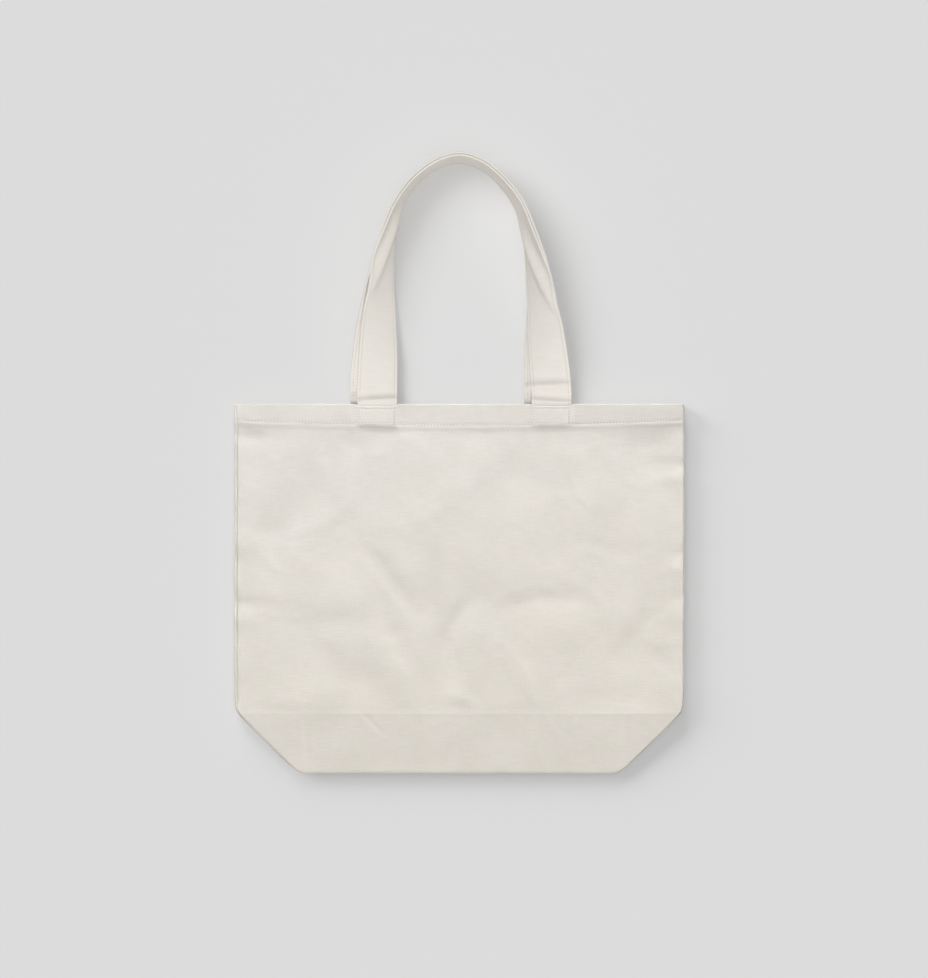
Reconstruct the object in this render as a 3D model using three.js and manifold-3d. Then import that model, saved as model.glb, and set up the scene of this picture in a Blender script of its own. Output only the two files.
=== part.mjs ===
// A canvas tote bag lying flat on its back, with its handles laid out above the mouth.
// Millimetres. +X is to the right, +Y runs from the base to the handles, +Z is up, off the surface it lies on.
// While the parts are made, y = 0 is the edge of the mouth and z = 0 is the surface; the last lines move
// the origin to the middle of the bag's footprint.
import * as THREE from 'three';
import { mergeVertices } from 'three/addons/utils/BufferGeometryUtils.js';
import Module from 'manifold-3d';

const wasm = await Module();
wasm.setup();

// Driving dimensions.
const BAG_WIDTH = 450;
const BAG_HEIGHT = 370;
const BASE_DEPTH = 120;          // depth of the base when the bag stands open
const LYING_HEIGHT = 14;         // height of the empty bag as it lies, held apart by its hems and handle ends
const CANVAS = 0.6;              // one layer of canvas
const HEM_DEPTH = 24;
const HEM_LAYERS = 3;            // the panel and the two layers turned in
const STRAP_WIDTH = 40;
const STRAP = 2.0;               // four layers of canvas, folded and pressed
const STRAP_END = 21;            // length of strap sewn behind the hem
const HINGE_GAP = 1.6;           // from the mouth to the foot of the moving part of a handle
const ARCH_STEPS = 52;           // facets along a handle
const CLEARANCE = 0.4;           // between pieces that lie on each other

// Sizes that follow from them.
const CORNER_CUT = BASE_DEPTH / 2;
const HALF_WIDTH = BAG_WIDTH / 2;
const EDGE_ROUND = LYING_HEIGHT / 2 - 0.1;
const MIDDLE = LYING_HEIGHT / 2;
const HEM = HEM_LAYERS * CANVAS;
const FLAT_HALF = HALF_WIDTH - EDGE_ROUND;
const FRONT_STRAP_Z = LYING_HEIGHT - HEM - CLEARANCE - STRAP / 2;
const BACK_STRAP_Z = HEM + CLEARANCE + STRAP / 2;

// Thread lines.
const THREAD_WIDTH = 0.8;
const THREAD = 0.5;
const THREAD_INSET = 2.8;        // from a strap's or a hem's edge to its row of stitches
const BOX_TOP = 4.5;             // from the mouth to the top row of a handle's box of stitches
const HEM_LINE = -(HEM_DEPTH - THREAD_INSET);

// Overlocked seams inside the bag.
const SEAM_WIDTH = 8;
const SEAM = 2 * CANVAS;
const SEAM_INSET = 1.8;

const canvasMaterial = new THREE.MeshStandardMaterial({ color: 0xe6e1d6, roughness: 0.92, metalness: 0 });
const strapMaterial = new THREE.MeshStandardMaterial({ color: 0xe9e5dc, roughness: 0.9, metalness: 0 });
const threadMaterial = new THREE.MeshStandardMaterial({ color: 0xeee9dd, roughness: 0.7, metalness: 0 });
const seamMaterial = new THREE.MeshStandardMaterial({ color: 0xdcd6c8, roughness: 0.95, metalness: 0 });

const bag = new THREE.Group();

// Solid geometry helpers.

function solidOf(geometry) {
  const bare = new THREE.BufferGeometry().setAttribute('position', geometry.getAttribute('position').clone());
  if (geometry.index) bare.setIndex(geometry.index.clone());
  const merged = mergeVertices(bare, 1e-4);
  return new wasm.Manifold(new wasm.Mesh({
    numProp: 3,
    vertProperties: merged.attributes.position.array,
    triVerts: new Uint32Array(merged.index.array),
  }));
}

function geometryOf(solid) {
  const mesh = solid.getMesh();
  const geometry = new THREE.BufferGeometry();
  geometry.setAttribute('position', new THREE.BufferAttribute(mesh.vertProperties, 3));
  geometry.setIndex(new THREE.BufferAttribute(mesh.triVerts, 1));
  geometry.computeVertexNormals();
  return geometry;
}

function block(low, high) {
  const size = high.map((value, i) => value - low[i]);
  return new THREE.BoxGeometry(...size).translate(...low.map((value, i) => value + size[i] / 2));
}

function add(name, geometry, material) {
  const mesh = new THREE.Mesh(geometry, material);
  mesh.name = name;
  bag.add(mesh);
  return mesh;
}

// The bag's body.

// The outline of the body, drawn in by inset, with cut-off lower corners and its top edge at top.
function bodyOutline(inset, top) {
  const side = HALF_WIDTH - inset;
  const bottom = -BAG_HEIGHT + inset;
  // A 45 degree edge drawn in by inset moves its two ends by this much along the straight edges.
  const shift = inset * Math.tan(Math.PI / 8);
  const cutTop = -BAG_HEIGHT + CORNER_CUT + shift;
  const cutSide = HALF_WIDTH - CORNER_CUT - shift;
  const corners = [
    [-side, top, 0], [-side, cutTop, 10], [-cutSide, bottom, 10],
    [cutSide, bottom, 10], [side, cutTop, 10], [side, top, 0],
  ].map(([x, y, round]) => ({ at: new THREE.Vector2(x, y), round }));
  const shape = new THREE.Shape();
  corners.forEach(({ at, round }, i) => {
    const before = corners.at(i - 1).at.clone().sub(at).setLength(round).add(at);
    const after = corners[(i + 1) % corners.length].at.clone().sub(at).setLength(round).add(at);
    if (i === 0) shape.moveTo(at.x, at.y);
    else shape.lineTo(before.x, before.y);
    if (round) shape.quadraticCurveTo(at.x, at.y, after.x, after.y);
  });
  shape.closePath();
  return shape;
}

// The body as a pillow with rounded sides, drawn in by inset all round.
function pillow(inset, top) {
  const round = EDGE_ROUND - inset;
  const geometry = new THREE.ExtrudeGeometry(bodyOutline(inset, top), {
    depth: LYING_HEIGHT - 2 * EDGE_ROUND,
    bevelEnabled: true,
    bevelThickness: round,
    bevelSize: round,
    bevelOffset: -round,
    bevelSegments: 4,
    curveSegments: 4,
  });
  return solidOf(geometry.translate(0, 0, EDGE_ROUND));
}

// Both panels in one: a shell of one layer of canvas, three layers thick along the hem, open at the mouth.
function bodyShell() {
  const far = 2 * BAG_WIDTH;
  const aboveMouth = solidOf(block([-far, 0, -far], [far, far, far]));
  const belowHem = solidOf(block([-far, -far, -far], [far, -HEM_DEPTH, far]));
  const alongHem = solidOf(block([-far, -HEM_DEPTH - 0.1, -far], [far, far, far]));
  const outside = pillow(0, 3 * EDGE_ROUND);
  const inside = pillow(CANVAS, 6 * EDGE_ROUND).intersect(belowHem);
  const insideHem = pillow(HEM, 6 * EDGE_ROUND).intersect(alongHem);
  return outside.subtract(aboveMouth).subtract(inside).subtract(insideHem);
}

// The middles of the handles' ends, along the hem. The back handle sits a little to the left of the front one.
const FRONT_LEGS = [-82.5, 92];
const BACK_STRAP_ASIDE = 7;
const BACK_LEGS = FRONT_LEGS.map((x) => x - BACK_STRAP_ASIDE);

// Three sides of the box of stitches that holds a handle's end; the row along the hem is its fourth side.
function stitchBox(x, grow) {
  const half = STRAP_WIDTH / 2 - THREAD_INSET;
  const line = THREAD_WIDTH / 2 + grow;
  const outer = half + line;
  const inner = half - line;
  const top = -BOX_TOP + line;
  const foot = HEM_LINE + THREAD_WIDTH + CLEARANCE - grow;
  const shape = new THREE.Shape([
    [-outer, foot], [-inner, foot], [-inner, top - 2 * line], [inner, top - 2 * line],
    [inner, foot], [outer, foot], [outer, top], [-outer, top],
  ].map(([u, v]) => new THREE.Vector2(x + u, v)));
  return shape;
}

// Thread lies in a groove, just under the outer face. side is 1 on the front and -1 on the back.
function threadPlate(shape, side, depth) {
  const face = side > 0 ? LYING_HEIGHT : 0;
  const geometry = new THREE.ExtrudeGeometry(shape, { depth, bevelEnabled: false });
  return geometry.translate(0, 0, side > 0 ? face - depth : face);
}

function hemRow(grow) {
  const half = FLAT_HALF - 1 + grow;
  const line = THREAD_WIDTH / 2 + grow;
  return new THREE.Shape([
    [-half, HEM_LINE - line], [half, HEM_LINE - line], [half, HEM_LINE + line], [-half, HEM_LINE + line],
  ].map(([u, v]) => new THREE.Vector2(u, v)));
}

const SINK = 0.05;               // depth of a thread's top below the face
const GROOVE = SINK + THREAD + 0.35;

function addPanel(name, side, shell, legs) {
  const far = 2 * BAG_WIDTH;
  const split = MIDDLE + side * 0.15;
  const half = side > 0 ? block([-far, -far, split], [far, far, far]) : block([-far, -far, -far], [far, far, split]);
  const grow = 0.35;
  let panel = shell.intersect(solidOf(half));
  [hemRow(grow), ...legs.map((x) => stitchBox(x, grow))].forEach((shape) => {
    const cut = threadPlate(shape, side, GROOVE + 1).translate(0, 0, side * 1);
    panel = panel.subtract(solidOf(cut));
  });
  add(name, geometryOf(panel), canvasMaterial);
}

function addHemStitching(prefix, side, legs) {
  const sink = -side * SINK;
  add(`${prefix}_hem_stitching`, threadPlate(hemRow(0), side, THREAD).translate(0, 0, sink), threadMaterial);
  ['left', 'right'].forEach((place, i) => {
    const box = threadPlate(stitchBox(legs[i], 0), side, THREAD).translate(0, 0, sink);
    add(`${prefix}_${place}_box_stitching`, box, threadMaterial);
  });
}

// Seams inside the bag: the turned-in, overlocked edges of the two panels.
function addSeams() {
  const low = MIDDLE - SEAM / 2;
  const high = MIDDLE + SEAM / 2;
  const outer = HALF_WIDTH - SEAM_INSET;
  const inner = outer - SEAM_WIDTH;
  const cornerTop = -BAG_HEIGHT + CORNER_CUT;
  const bottom = -BAG_HEIGHT + SEAM_INSET;
  const bottomHalf = HALF_WIDTH - CORNER_CUT - 4;
  const cutLength = CORNER_CUT * Math.SQRT2 - 2 * SEAM_WIDTH;
  const middle = new THREE.Vector2(HALF_WIDTH - CORNER_CUT / 2, cornerTop - CORNER_CUT / 2);
  const inward = (SEAM_INSET + SEAM_WIDTH / 2) * Math.SQRT1_2;
  [['left', -1], ['right', 1]].forEach(([place, sign]) => {
    const x = [sign * outer, sign * inner].sort((a, b) => a - b);
    const side = block([x[0], cornerTop + 4, low], [x[1], -HEM_DEPTH - 2, high]);
    add(`${place}_side_seam`, side, seamMaterial);
    const corner = new THREE.BoxGeometry(cutLength, SEAM_WIDTH, SEAM);
    const mesh = add(`${place}_corner_seam`, corner, seamMaterial);
    mesh.rotation.z = sign * Math.PI / 4;
    mesh.position.set(sign * (middle.x - inward), middle.y + inward, MIDDLE);
  });
  add('bottom_seam', block([-bottomHalf, bottom, low], [bottomHalf, bottom + SEAM_WIDTH, high]), seamMaterial);
}

// The handles.

// Both straps rise from the hem lying flat, and turn on edge towards the top of their arch.
// This is the middle line of the front handle's strap, seen from above: x, y and the turn there in degrees.
const ARCH = [
  [FRONT_LEGS[0], 0, 0], [FRONT_LEGS[0], 12, 4], [-81, 64, 28], [-78, 118, 54], [-71, 163, 73], [-61, 197, 85],
  [-44, 222, 89.5], [-22, 238, 90], [0, 244, 90],
  [21, 238, 90], [39.5, 223, 88], [57.5, 199, 84], [69.5, 165, 76], [78.5, 122, 57], [85.5, 76, 33],
  [FRONT_LEGS[1], 12, 4], [FRONT_LEGS[1], 0, 0],
];
const NEST = STRAP + CLEARANCE;  // from one strap's middle to the other's where they lie together
const SPREAD_LENGTH = 150;       // length over which the back strap comes in line with the front one
const STITCH = 0.3;              // thickness of a strap's row of stitches, and its gap from the face
const RESTING = STRAP / 2 + NEST + 2 * STITCH;

const archLine = new THREE.CatmullRomCurve3(ARCH.map(([x, y]) => new THREE.Vector3(x, y, 0)), false, 'centripetal');
archLine.arcLengthDivisions = 400;
const ARCH_LENGTH = archLine.getLength();
const turnLine = new THREE.SplineCurve(ARCH.map(([, , turn], i) => new THREE.Vector2(i, turn)));

// How far the strap has turned, in radians, at a share along the arch: at most on edge.
function turnAt(share) {
  const degrees = turnLine.getPoint(archLine.getUtoTmapping(share)).y;
  return THREE.MathUtils.degToRad(Math.min(degrees, 90));
}

// 1 where the strap lies flat at the hem, falling to 0 where it stands on edge.
function flatness(turn) {
  return (1 - Math.sin(turn)) ** 2;
}

// How far the back strap lies to the side of the front one, in the plane of both.
function asideAt(share) {
  const fromFoot = Math.min(share, 1 - share) * ARCH_LENGTH;
  return BACK_STRAP_ASIDE * (1 - Math.min(1, fromFoot / SPREAD_LENGTH) ** 2) ** 2;
}

// The strap's place at a share along the arch: its middle, the direction across it and off its front face.
function frontFrame(share) {
  const turn = turnAt(share);
  const along = archLine.getTangentAt(share);
  const inward = new THREE.Vector3(along.y, -along.x, 0);
  const up = new THREE.Vector3(0, 0, 1);
  const across = inward.clone().multiplyScalar(Math.cos(turn)).addScaledVector(up, -Math.sin(turn));
  const off = up.clone().multiplyScalar(Math.cos(turn)).addScaledVector(inward, Math.sin(turn));
  const middle = archLine.getPointAt(share);
  middle.z = STRAP_WIDTH / 2 * Math.sin(turn) + RESTING * Math.cos(turn);
  middle.z += (FRONT_STRAP_Z - RESTING) * flatness(turn) + asideAt(share) * Math.sin(turn);
  return { middle, across, off };
}

// The back handle's strap lies behind the front one: a little to the left at the hem, against it at the top.
function backFrame(share) {
  const { middle, across, off } = frontFrame(share);
  const apart = NEST + (FRONT_STRAP_Z - BACK_STRAP_Z - NEST) * flatness(turnAt(share));
  const aside = share < 0.5 ? -asideAt(share) : asideAt(share);
  middle.addScaledVector(off, -apart).addScaledVector(across, aside);
  return { middle, across, off };
}

// A straight bar, x across and y off the strap's face, bent along a handle's frames from right to left.
function bend(width, thickness, across, off, frameAt, widthSegments) {
  const bar = new THREE.BoxGeometry(width, thickness, 1, widthSegments, 1, ARCH_STEPS).translate(across, off, 0.5);
  const first = HINGE_GAP / ARCH_LENGTH;
  const place = bar.attributes.position;
  const point = new THREE.Vector3();
  for (let i = 0; i < place.count; i += 1) {
    point.fromBufferAttribute(place, i);
    const frame = frameAt(1 - first - point.z * (1 - 2 * first));
    const moved = frame.middle.addScaledVector(frame.across, point.x).addScaledVector(frame.off, point.y);
    place.setXYZ(i, moved.x, moved.y, moved.z);
  }
  return geometryOf(solidOf(bar));
}

function addHandle(prefix, frameAt, side) {
  const row = STRAP_WIDTH / 2 - THREAD_INSET;
  const offFace = side * (STRAP / 2 + 1.5 * STITCH);
  add(`${prefix}_handle`, bend(STRAP_WIDTH, STRAP, 0, 0, frameAt, 4), strapMaterial);
  add(`${prefix}_handle_outer_stitching`, bend(THREAD_WIDTH, STITCH, -row, offFace, frameAt, 1), threadMaterial);
  add(`${prefix}_handle_inner_stitching`, bend(THREAD_WIDTH, STITCH, row, offFace, frameAt, 1), threadMaterial);
}

// The ends of a handle, sewn behind the hem.
function addHandleEnds(prefix, legs, z) {
  ['left', 'right'].forEach((place, i) => {
    const half = STRAP_WIDTH / 2;
    const end = block([legs[i] - half, -STRAP_END, z - STRAP / 2], [legs[i] + half, 0.3, z + STRAP / 2]);
    add(`${prefix}_${place}_handle_end`, end, strapMaterial);
  });
}

const shell = bodyShell();
addPanel('front_panel', 1, shell, FRONT_LEGS);
addPanel('back_panel', -1, shell, BACK_LEGS);
addHemStitching('front', 1, FRONT_LEGS);
addHemStitching('back', -1, BACK_LEGS);
addSeams();
addHandleEnds('front', FRONT_LEGS, FRONT_STRAP_Z);
addHandleEnds('back', BACK_LEGS, BACK_STRAP_Z);
addHandle('front', frontFrame, 1);
addHandle('back', backFrame, -1);

// The origin goes to the middle of the footprint, on the surface.
const footprint = new THREE.Box3().setFromObject(bag, true);
bag.position.set(-(footprint.min.x + footprint.max.x) / 2, -(footprint.min.y + footprint.max.y) / 2, 0);

export default bag;
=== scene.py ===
"""A canvas tote bag lying flat on its back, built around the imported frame.

Sizes are in millimetres, in the frame's own axes, until build_mesh turns them into metres.
"""
import math

import bpy
import numpy as np
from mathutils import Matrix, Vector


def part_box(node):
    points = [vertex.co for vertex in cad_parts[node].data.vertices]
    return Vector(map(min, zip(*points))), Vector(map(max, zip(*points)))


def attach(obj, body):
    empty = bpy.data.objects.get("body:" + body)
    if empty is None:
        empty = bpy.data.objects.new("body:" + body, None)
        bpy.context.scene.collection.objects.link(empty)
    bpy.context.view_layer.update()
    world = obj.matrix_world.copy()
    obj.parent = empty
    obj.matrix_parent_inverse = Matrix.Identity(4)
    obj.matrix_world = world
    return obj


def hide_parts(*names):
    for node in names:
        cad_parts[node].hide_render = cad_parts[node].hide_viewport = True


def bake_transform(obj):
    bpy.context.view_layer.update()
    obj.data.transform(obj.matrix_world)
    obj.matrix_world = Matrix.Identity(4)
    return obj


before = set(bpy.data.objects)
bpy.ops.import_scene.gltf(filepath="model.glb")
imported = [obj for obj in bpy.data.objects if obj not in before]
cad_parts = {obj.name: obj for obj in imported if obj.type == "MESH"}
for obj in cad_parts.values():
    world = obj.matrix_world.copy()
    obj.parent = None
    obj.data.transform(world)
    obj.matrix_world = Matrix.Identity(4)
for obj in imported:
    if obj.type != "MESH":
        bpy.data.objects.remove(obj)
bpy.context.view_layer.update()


def corners(node):
    """Lowest and highest corner of a CAD node, in millimetres."""
    low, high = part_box(node)
    return np.array(low) * 1000, np.array(high) * 1000


# Taken from the frame.
PANEL_LOW, PANEL_HIGH = corners("front_panel")
HALF_WIDTH = PANEL_HIGH[0]
MOUTH = PANEL_HIGH[1]
BOTTOM = PANEL_LOW[1]
TOP = PANEL_HIGH[2]
MIDDLE = TOP / 2
STRAP_ENDS = {side: [corners(f"{side}_{place}_handle_end") for place in ("left", "right")]
              for side in ("front", "back")}
STRAP_LEGS = {side: [(low[0] + high[0]) / 2 for low, high in ends] for side, ends in STRAP_ENDS.items()}
FRONT_LEGS = STRAP_LEGS["front"]
STRAP_Z = {side: (ends[0][0][2] + ends[0][1][2]) / 2 for side, ends in STRAP_ENDS.items()}
STRAP_HALF = (STRAP_ENDS["front"][0][1][0] - STRAP_ENDS["front"][0][0][0]) / 2
STRAP_TAIL = MOUTH - STRAP_ENDS["front"][0][0][1]
STITCH_BAND_HALF = 0.4  # half the width of the frame's rows of stitching
HEM_STITCH_Y = sum(corner[1] for corner in corners("front_hem_stitching")) / 2
BOX_STITCH_Y = corners("front_left_box_stitching")[1][1] - STITCH_BAND_HALF

# Thicknesses.
CANVAS = 0.6  # one layer
HEM = 1.8  # three layers
STRAP = 2.2  # a strap of folded canvas

# The outline of the lying body.
HEM_FOLD = MOUTH - 24.3  # lower edge of the turned-in hem
CORNER_CUT = 60.0  # leg of the cut-off lower corners, half the depth of the base
CREASE = BOTTOM + CORNER_CUT
FOOT = BOTTOM - 1.0  # the bottom edge's outermost line
FOOT_ROUND = 4.0  # width of the rounded edge along the bottom
EDGE_ROUND = {-1: 4.4, 1: 3.2}  # the same on the left and the right
OUTERMOST = {-1: 0.5, 1: -0.3}  # how far each side edge lies outside half_width
EDGE_WAVE = 0.35
SIDE_BULGE = 0.9  # beyond the frame's sides
CUT_START = CREASE + 1.0  # where a side edge turns into a corner cut
CUT_SOFTNESS = 5.5  # how gradually it turns
CUT_TURN = (CREASE - 9, CREASE + 6)
CUT_SLOPE = 1.03  # how far a cut comes in for each millimetre down
CUT_ROUND = 3.0  # how much more it comes in at the bottom edge
CUT_ROUND_HEIGHT = 9.0
LEFT_SEAM_IN = 3.7  # how far the left side seam has rolled onto the front
SEAM_TURN = {-1: 4, 1: 3}  # an unrolled side seam's place round the edge, in degrees

# The hem.
HEM_RISE = 0.5  # how much shallower its middle is than its pattern
HEM_RISE_ENDS = 4.0  # and how much more at HEM_RISE_PLACE from the middle
HEM_RISE_PLACE = 200
HEM_STEP = 0.55  # its step above the panel
HEM_LIFT = 1.3  # how far it lifts towards its right end
HEM_SAG = 0.65  # how far the panel sinks just below it
HEM_RIPPLE = 0.16
HEM_SHARE = 0.25  # its share of the panel's folds
END_LIFT = 0.3  # how far a handle's end lifts the mouth
END_WEDGE = 0.9  # and how much more the hem's lower edge
MOUTH_DIP = 2.4  # how far the mouth is drawn down at a handle
STITCH_GROOVE = 0.25

# The front.
FRONT_LEVEL = TOP - 1.2
DOME = 1.1  # how much higher its middle is
DOME_MIDDLE = -100
DOME_REACH = 260
BASE_SLOPE = 0.080  # the base's fall for each millimetre below its crease
CREASE_RIDGE = 0.07
DRIFT = 9  # how far the folds stray
CRUMPLE_SHARE = 0.45
FOLD_SHARE = 1.4
PUCKER_SHARE = 1.8
PUCKER_LEAN = 0.12  # a pucker's slant for each millimetre inwards

# The back, which lies on the floor.
BACK_LEVEL = 0.45
BACK_CREASE = 0.25
BACK_HEM = 0.35
BACK_GROOVE = 0.15
BACK_SLOPE = 0.03
BACK_PUCKER_SHARE = 0.5

# Stitches.
STITCH_PITCH = 3.0
STITCH_LENGTH = 2.35
STITCH_RADIUS = 0.24
STITCH_LIFT = 0.08  # of a stitch's middle line off a panel
STITCH_SLANT = 0.09
EDGE_ROW = 2.9  # from a strap's edge to its row of stitches
BOX_HALF = STRAP_HALF - 2.8  # half the width of a box of stitches

# Steps of the meshes.
PLATEAU_COLUMNS = 88
EDGE_COLUMNS = 9
CREASE_ROWS = 16
BASE_ROWS = 20
FOOT_ROWS = 10
FINE = 1.0
COARSE = 2.4


joined = np.concatenate


def smooth(low, high, x):
    """0 up to low, 1 from high, and a smooth rise between them."""
    t = np.clip((x - low) / (high - low), 0, 1)
    return t * t * (3 - 2 * t)


def bell(x, width):
    return np.exp(-(x / width) ** 2)


def unit(vectors):
    """The vectors, each brought to length 1."""
    return vectors / np.linalg.norm(vectors, axis=-1, keepdims=True)


def rough(x, y, cell_x, cell_y, seed):
    """Smooth noise from -1 to 1 whose features are about cell_x by cell_y."""
    size = 64
    values = np.random.default_rng(seed).uniform(-1, 1, (size, size))
    u, v = np.asarray(x / cell_x + size / 2, float), np.asarray(y / cell_y + size / 2, float)
    i, j = np.floor(u).astype(int), np.floor(v).astype(int)
    fu, fv = smooth(0, 1, u - i), smooth(0, 1, v - j)
    low = values[i % size, j % size] * (1 - fu) + values[(i + 1) % size, j % size] * fu
    high = values[i % size, (j + 1) % size] * (1 - fu) + values[(i + 1) % size, (j + 1) % size] * fu
    return low * (1 - fv) + high * fv


# Meshes.

def facing_out(points, faces):
    """The faces of a closed mesh, turned so that they face outwards."""
    a, b, c, d = (points[[face[k] for face in faces]] for k in (0, 1, 2, -1))
    volume = (a * (np.cross(b, c) + np.cross(c, d))).sum()
    return faces if volume > 0 else [face[::-1] for face in faces]


def build_mesh(name, points, faces, material, cloth=None, normals=None):
    """A smooth-shaded mesh from points in millimetres. cloth is where each point lies on the flat cloth."""
    points = points.reshape(-1, 3)
    mesh = bpy.data.meshes.new(name)
    faces = facing_out(points, [list(map(int, face)) for face in faces])
    mesh.from_pydata((points * 0.001).tolist(), [], faces)
    mesh.shade_smooth()
    mesh.materials.append(material)
    if cloth is not None:
        attribute = mesh.attributes.new("cloth", "FLOAT_VECTOR", "POINT")
        flat = np.zeros((len(points), 3))
        flat[:, :2] = cloth.reshape(-1, 2)
        attribute.data.foreach_set("vector", flat.ravel())
    if normals is not None:
        mesh.normals_split_custom_set_from_vertices(normals.reshape(-1, 3).tolist())
    obj = bpy.data.objects.new(name, mesh)
    bpy.context.scene.collection.objects.link(obj)
    return obj


def grid_faces(rows, columns, wrap=False):
    """Quads of a grid of points numbered row by row, closed into a tube where wrap is true."""
    i, j = np.meshgrid(np.arange(rows - 1), np.arange(columns if wrap else columns - 1), indexing="ij")
    k = (j + 1) % columns
    quads = np.stack([i * columns + j, i * columns + k, (i + 1) * columns + k, (i + 1) * columns + j], -1)
    return quads.reshape(-1, 4)


def tube_faces(rows, ring):
    """Faces of a tube of rows rings, with ring points in each, closed at both ends."""
    first = list(range(ring))
    last = list(range(rows * ring - 1, (rows - 1) * ring - 1, -1))
    return grid_faces(rows, ring, wrap=True).tolist() + [first, last]


def outward_normals(points, up):
    """Unit normals of a grid of points, rows by columns by 3. Those in its middle look up where up is 1, and
    down where it is -1."""
    normals = np.cross(np.gradient(points, axis=0), np.gradient(points, axis=1))
    normals /= np.maximum(np.linalg.norm(normals, axis=2, keepdims=True), 1e-9)
    return normals * np.sign(normals[len(points) // 2, points.shape[1] // 2, 2]) * up


# The shape of the lying bag.

def half_width(y):
    """Half the body's width at y: full above the base crease, cut in at about 45 degrees below it, and
    rounded where the cut meets the bottom edge."""
    below = CUT_START - y
    cut = CUT_SLOPE * (below + np.sqrt(below ** 2 + CUT_SOFTNESS ** 2)) / 2
    corner = CUT_ROUND * np.clip(1 - (y - FOOT) / CUT_ROUND_HEIGHT, 0, 1) ** 2
    return HALF_WIDTH + SIDE_BULGE - cut - corner


def edge_lean(y):
    """How much wider a rounded edge is when it is measured along x, where it runs at 45 degrees."""
    return 1 + (math.sqrt(2) - 1) * (1 - smooth(*CUT_TURN, y))


# Soft folds pressed into the front: start, end, width and height of each. A negative height is a valley.
FRONT_FOLDS = [
    ((-104, -88), (-40, -146), 9, -1.10), ((-84, -82), (-30, -128), 13, 0.60),
    ((-128, -104), (-52, -236), 24, 1.70), ((-76, -150), (-40, -244), 14, -0.90),
    ((2, -132), (-16, -232), 12, -1.50), ((34, -150), (8, -226), 20, 0.85),
    ((-34, -150), (-24, -226), 16, 0.60), ((40, -139), (136, -143), 10, -0.70),
    ((-210, -157), (-90, -161), 9, -0.60), ((110, -80), (200, -83), 8, -0.40),
    ((40, 16), (84, -38), 14, -0.95), ((30, 26), (0, -52), 22, 1.10),
    ((-132, -10), (-192, -82), 22, -1.25), ((-112, -6), (-168, -96), 20, 0.80),
    ((-124, 36), (-98, 8), 8, -0.60), ((-70, 30), (20, -20), 30, 0.90),
    ((-90, -30), (60, -110), 46, 1.50), ((196, -124), (160, -206), 18, -1.00),
    ((176, -120), (146, -190), 18, 0.60), ((208, -190), (164, -240), 18, -0.80),
    ((-140, -200), (-84, -226), 14, -0.80), ((100, -150), (56, -244), 28, 0.90),
    ((-196, -228), (-120, -244), 18, 0.60), ((150, 20), (110, -70), 34, 0.80),
]

# Puckers across the side seams: y, reach inwards, width and height of each.
PUCKERS = {
    -1: [(36, 30, 8, -1.2), (16, 22, 10, 0.4), (-22, 30, 13, 0.45), (-58, 26, 8, -0.35),
         (-77, 26, 8, 0.55), (-96, 18, 7, -0.35), (-118, 18, 7, 0.35), (-137, 30, 6, -0.95),
         (-154, 22, 7, 0.5), (-172, 18, 6, -0.4), (-206, 30, 12, 0.4)],
    1: [(36, 42, 7, -0.6), (1, 18, 7, -1.1), (-13, 22, 8, 0.6), (-40, 16, 9, -0.3),
        (-88, 18, 7, -0.7), (-104, 18, 8, 0.5), (-131, 24, 8, -0.55), (-150, 24, 9, 0.5),
        (-186, 30, 14, -0.4), (-220, 26, 10, 0.35)],
}

# Folds in the base, written as the front's are.
BASE_FOLDS = [
    ((-97, CREASE + 1), (-76, CREASE - 21), 2.2, -0.35),
    ((-154, CREASE - 4), (-152, BOTTOM), 2.5, -0.35),
    ((167, CREASE + 2), (163, BOTTOM), 2.5, -0.35),
]

# Bumps just above the base crease: x, y, stretch along x, radius and height of each.
BUMPS = [(-4, -232, 1.5, 8, 1.1), (9, -238, 1, 7, 0.6)]

# Broad waves in the front and the back: height, size along x and y, and seed of each.
FRONT_WAVES = [(1.2, 95, 75, 1), (0.60, 44, 36, 2), (0.24, 17, 12, 3)]
BACK_WAVES = [(0.22, 70, 55, 11), (0.08, 22, 16, 12)]

# Faint creases in the front: height, lean of x with y and of y with x, size along both, seed and sharpness.
FAINT_CREASES = [(0.75, 0.5, -0.4, 70, 60, 8, 4), (-0.65, -0.6, 0.3, 64, 80, 9, 5)]

# Hollows below the hem: x, width and depth of each, and how far down it is deepest and ends.
HEM_HOLLOWS = [(-206, 14, 1.9, 18, 70), (192, 26, 3.4, 23, 100)]

# The hollow below each handle's end, with x from the handle's middle.
HANDLE_HOLLOW = (9, 13, 0.7, 6, 30)

# How a side seam draws the canvas in, broadly and sharply: depth and reach.
SEAM_PULL = [(0.7, 1.8), (1.7, 0.7)]


def fold(x, y, start, end, width, height):
    """A soft ridge from start to end, fading at both."""
    run = np.subtract(end, start)
    length = math.hypot(*run)
    along = ((x - start[0]) * run[0] + (y - start[1]) * run[1]) / length ** 2
    aside = ((y - start[1]) * run[0] - (x - start[0]) * run[1]) / length
    taper = smooth(-0.12, 0.3, along) * (1 - smooth(0.7, 1.12, along))
    return height * bell(aside, width) * taper


def puckers(x, y, side):
    """Short wrinkles that run in from a side seam. side is -1 on the left and 1 on the right."""
    inward = half_width(y) - side * x
    slant = PUCKER_LEAN * inward
    total = 0
    for place, reach, width, height in PUCKERS[side]:
        fade = np.exp(-np.clip(inward, 0, None) / reach)
        total = total + height * bell(y - place + slant, width) * fade
    return total


def at_legs(x, legs, inner, outer):
    """1 across a handle's legs, falling to 0 from inner to outer, counted from the strap's edge."""
    return sum(1 - smooth(STRAP_HALF + inner, STRAP_HALF + outer, np.abs(x - leg)) for leg in legs)


def strap_bulge(x, y):
    """1 where one of the front handle's ends lies behind the hem, 0 elsewhere."""
    return at_legs(x, FRONT_LEGS, -3.0, 2.5) * smooth(HEM_FOLD - 1.0, HEM_FOLD + 2.5, y)


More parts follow.
